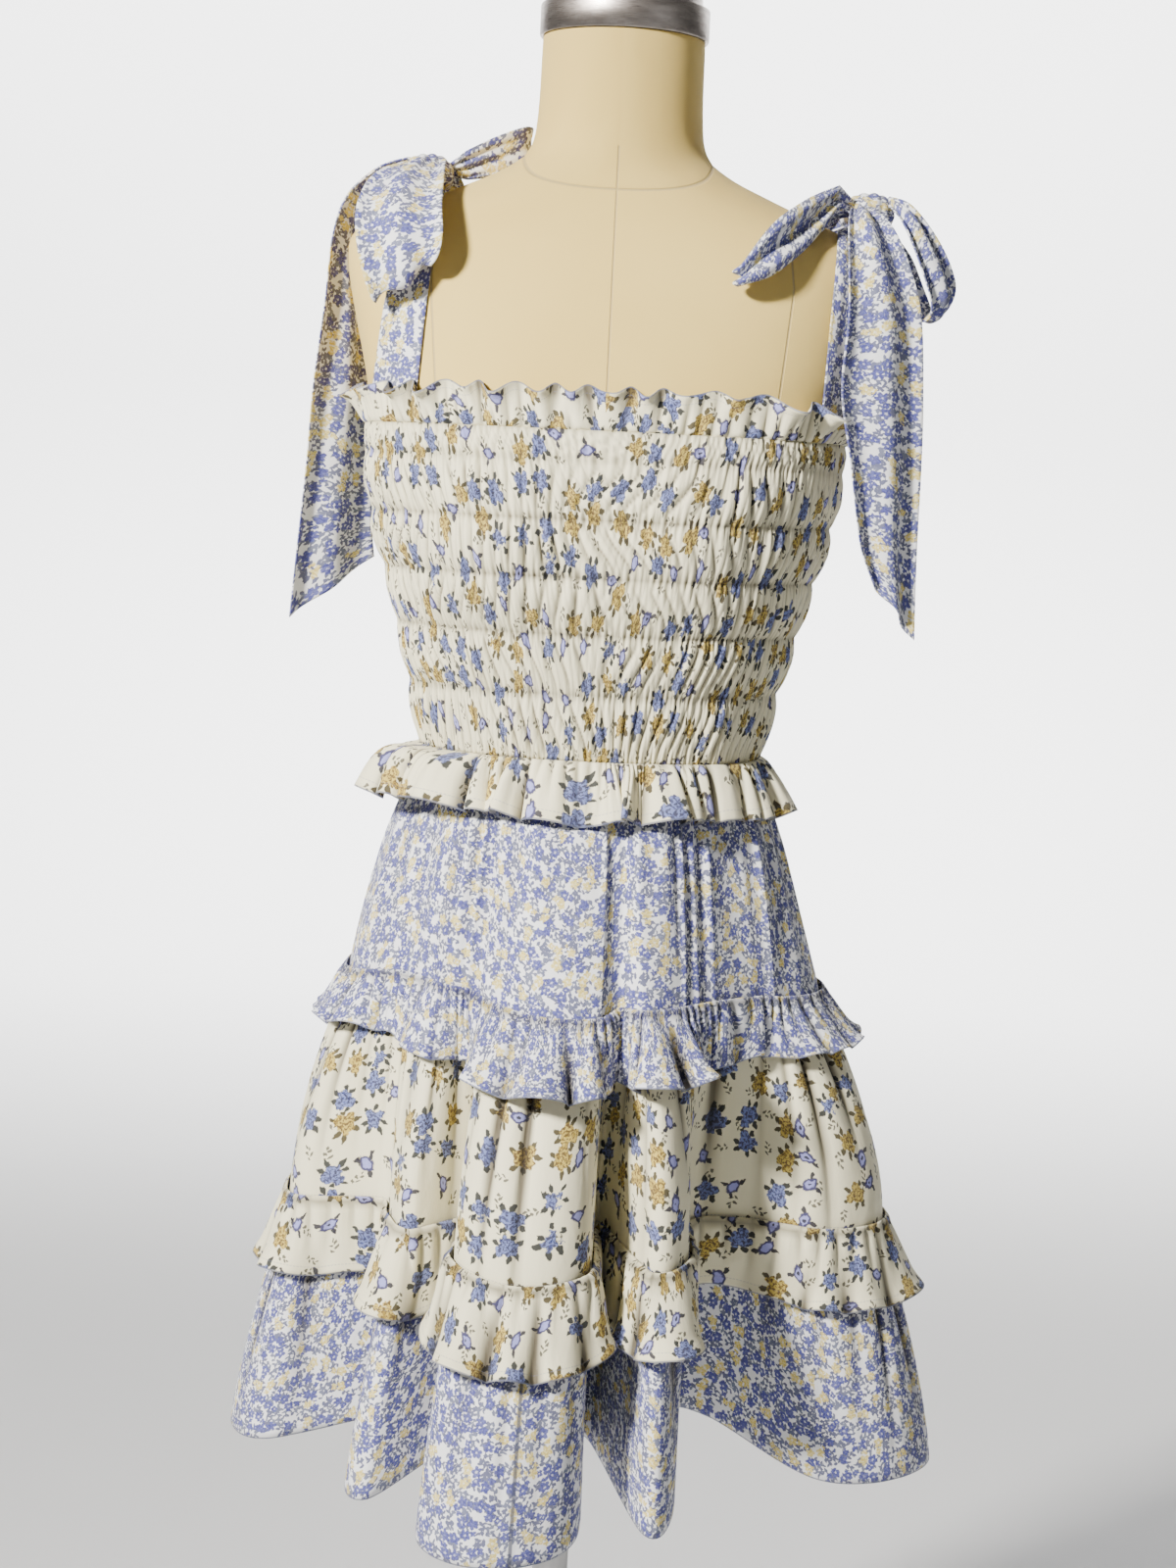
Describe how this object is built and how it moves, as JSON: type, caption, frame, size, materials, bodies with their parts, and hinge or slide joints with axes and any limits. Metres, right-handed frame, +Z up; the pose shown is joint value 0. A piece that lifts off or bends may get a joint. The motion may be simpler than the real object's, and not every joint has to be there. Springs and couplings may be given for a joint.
{
  "type": "sundress on dress form",
  "caption": "Smocked sundress with tie shoulder straps and three gathered, ruffled tiers, worn by a limbless dress form on a round pole stand.",
  "frame": {"origin": "centre of the underside of the stand's base, on the floor", "axes": "+Z up, the front of the dress faces -Y, +X is to the right of someone who looks at the front"},
  "size_m": [0.4864, 0.4669, 1.4773],
  "materials": {
    "floral_cotton": "matt cotton, cream with small rose bunches",
    "ditsy_cotton": "matt cotton, white with small blue and pale yellow flowers",
    "form_linen": "matt linen cover",
    "cap_metal": "brushed",
    "stand_metal": "satin grey"
  },
  "bodies": {
    "root": {"bodice_front": "floral_cotton", "bodice_back": "floral_cotton", "top_frill": "floral_cotton", "waist_frill": "floral_cotton", "tier_2": "floral_cotton", "ruffle_2": "floral_cotton", "tier_1": "ditsy_cotton", "ruffle_1": "ditsy_cotton", "tier_3": "ditsy_cotton", "strap_front_left": "ditsy_cotton", "strap_back_left": "ditsy_cotton", "knot_left": "ditsy_cotton", "loop_front_left": "ditsy_cotton", "loop_back_left": "ditsy_cotton", "tail_outer_left": "ditsy_cotton", "tail_back_left": "ditsy_cotton", "strap_front_right": "ditsy_cotton", "strap_back_right": "ditsy_cotton", "knot_right": "ditsy_cotton", "loop_inner_right": "ditsy_cotton", "loop_outer_right": "ditsy_cotton", "tail_front_right": "ditsy_cotton", "tail_back_right": "ditsy_cotton", "form_torso": "form_linen", "form_neck_cap": "cap_metal", "stand_pole": "stand_metal", "stand_base": "stand_metal"}
  },
  "joints": []
}
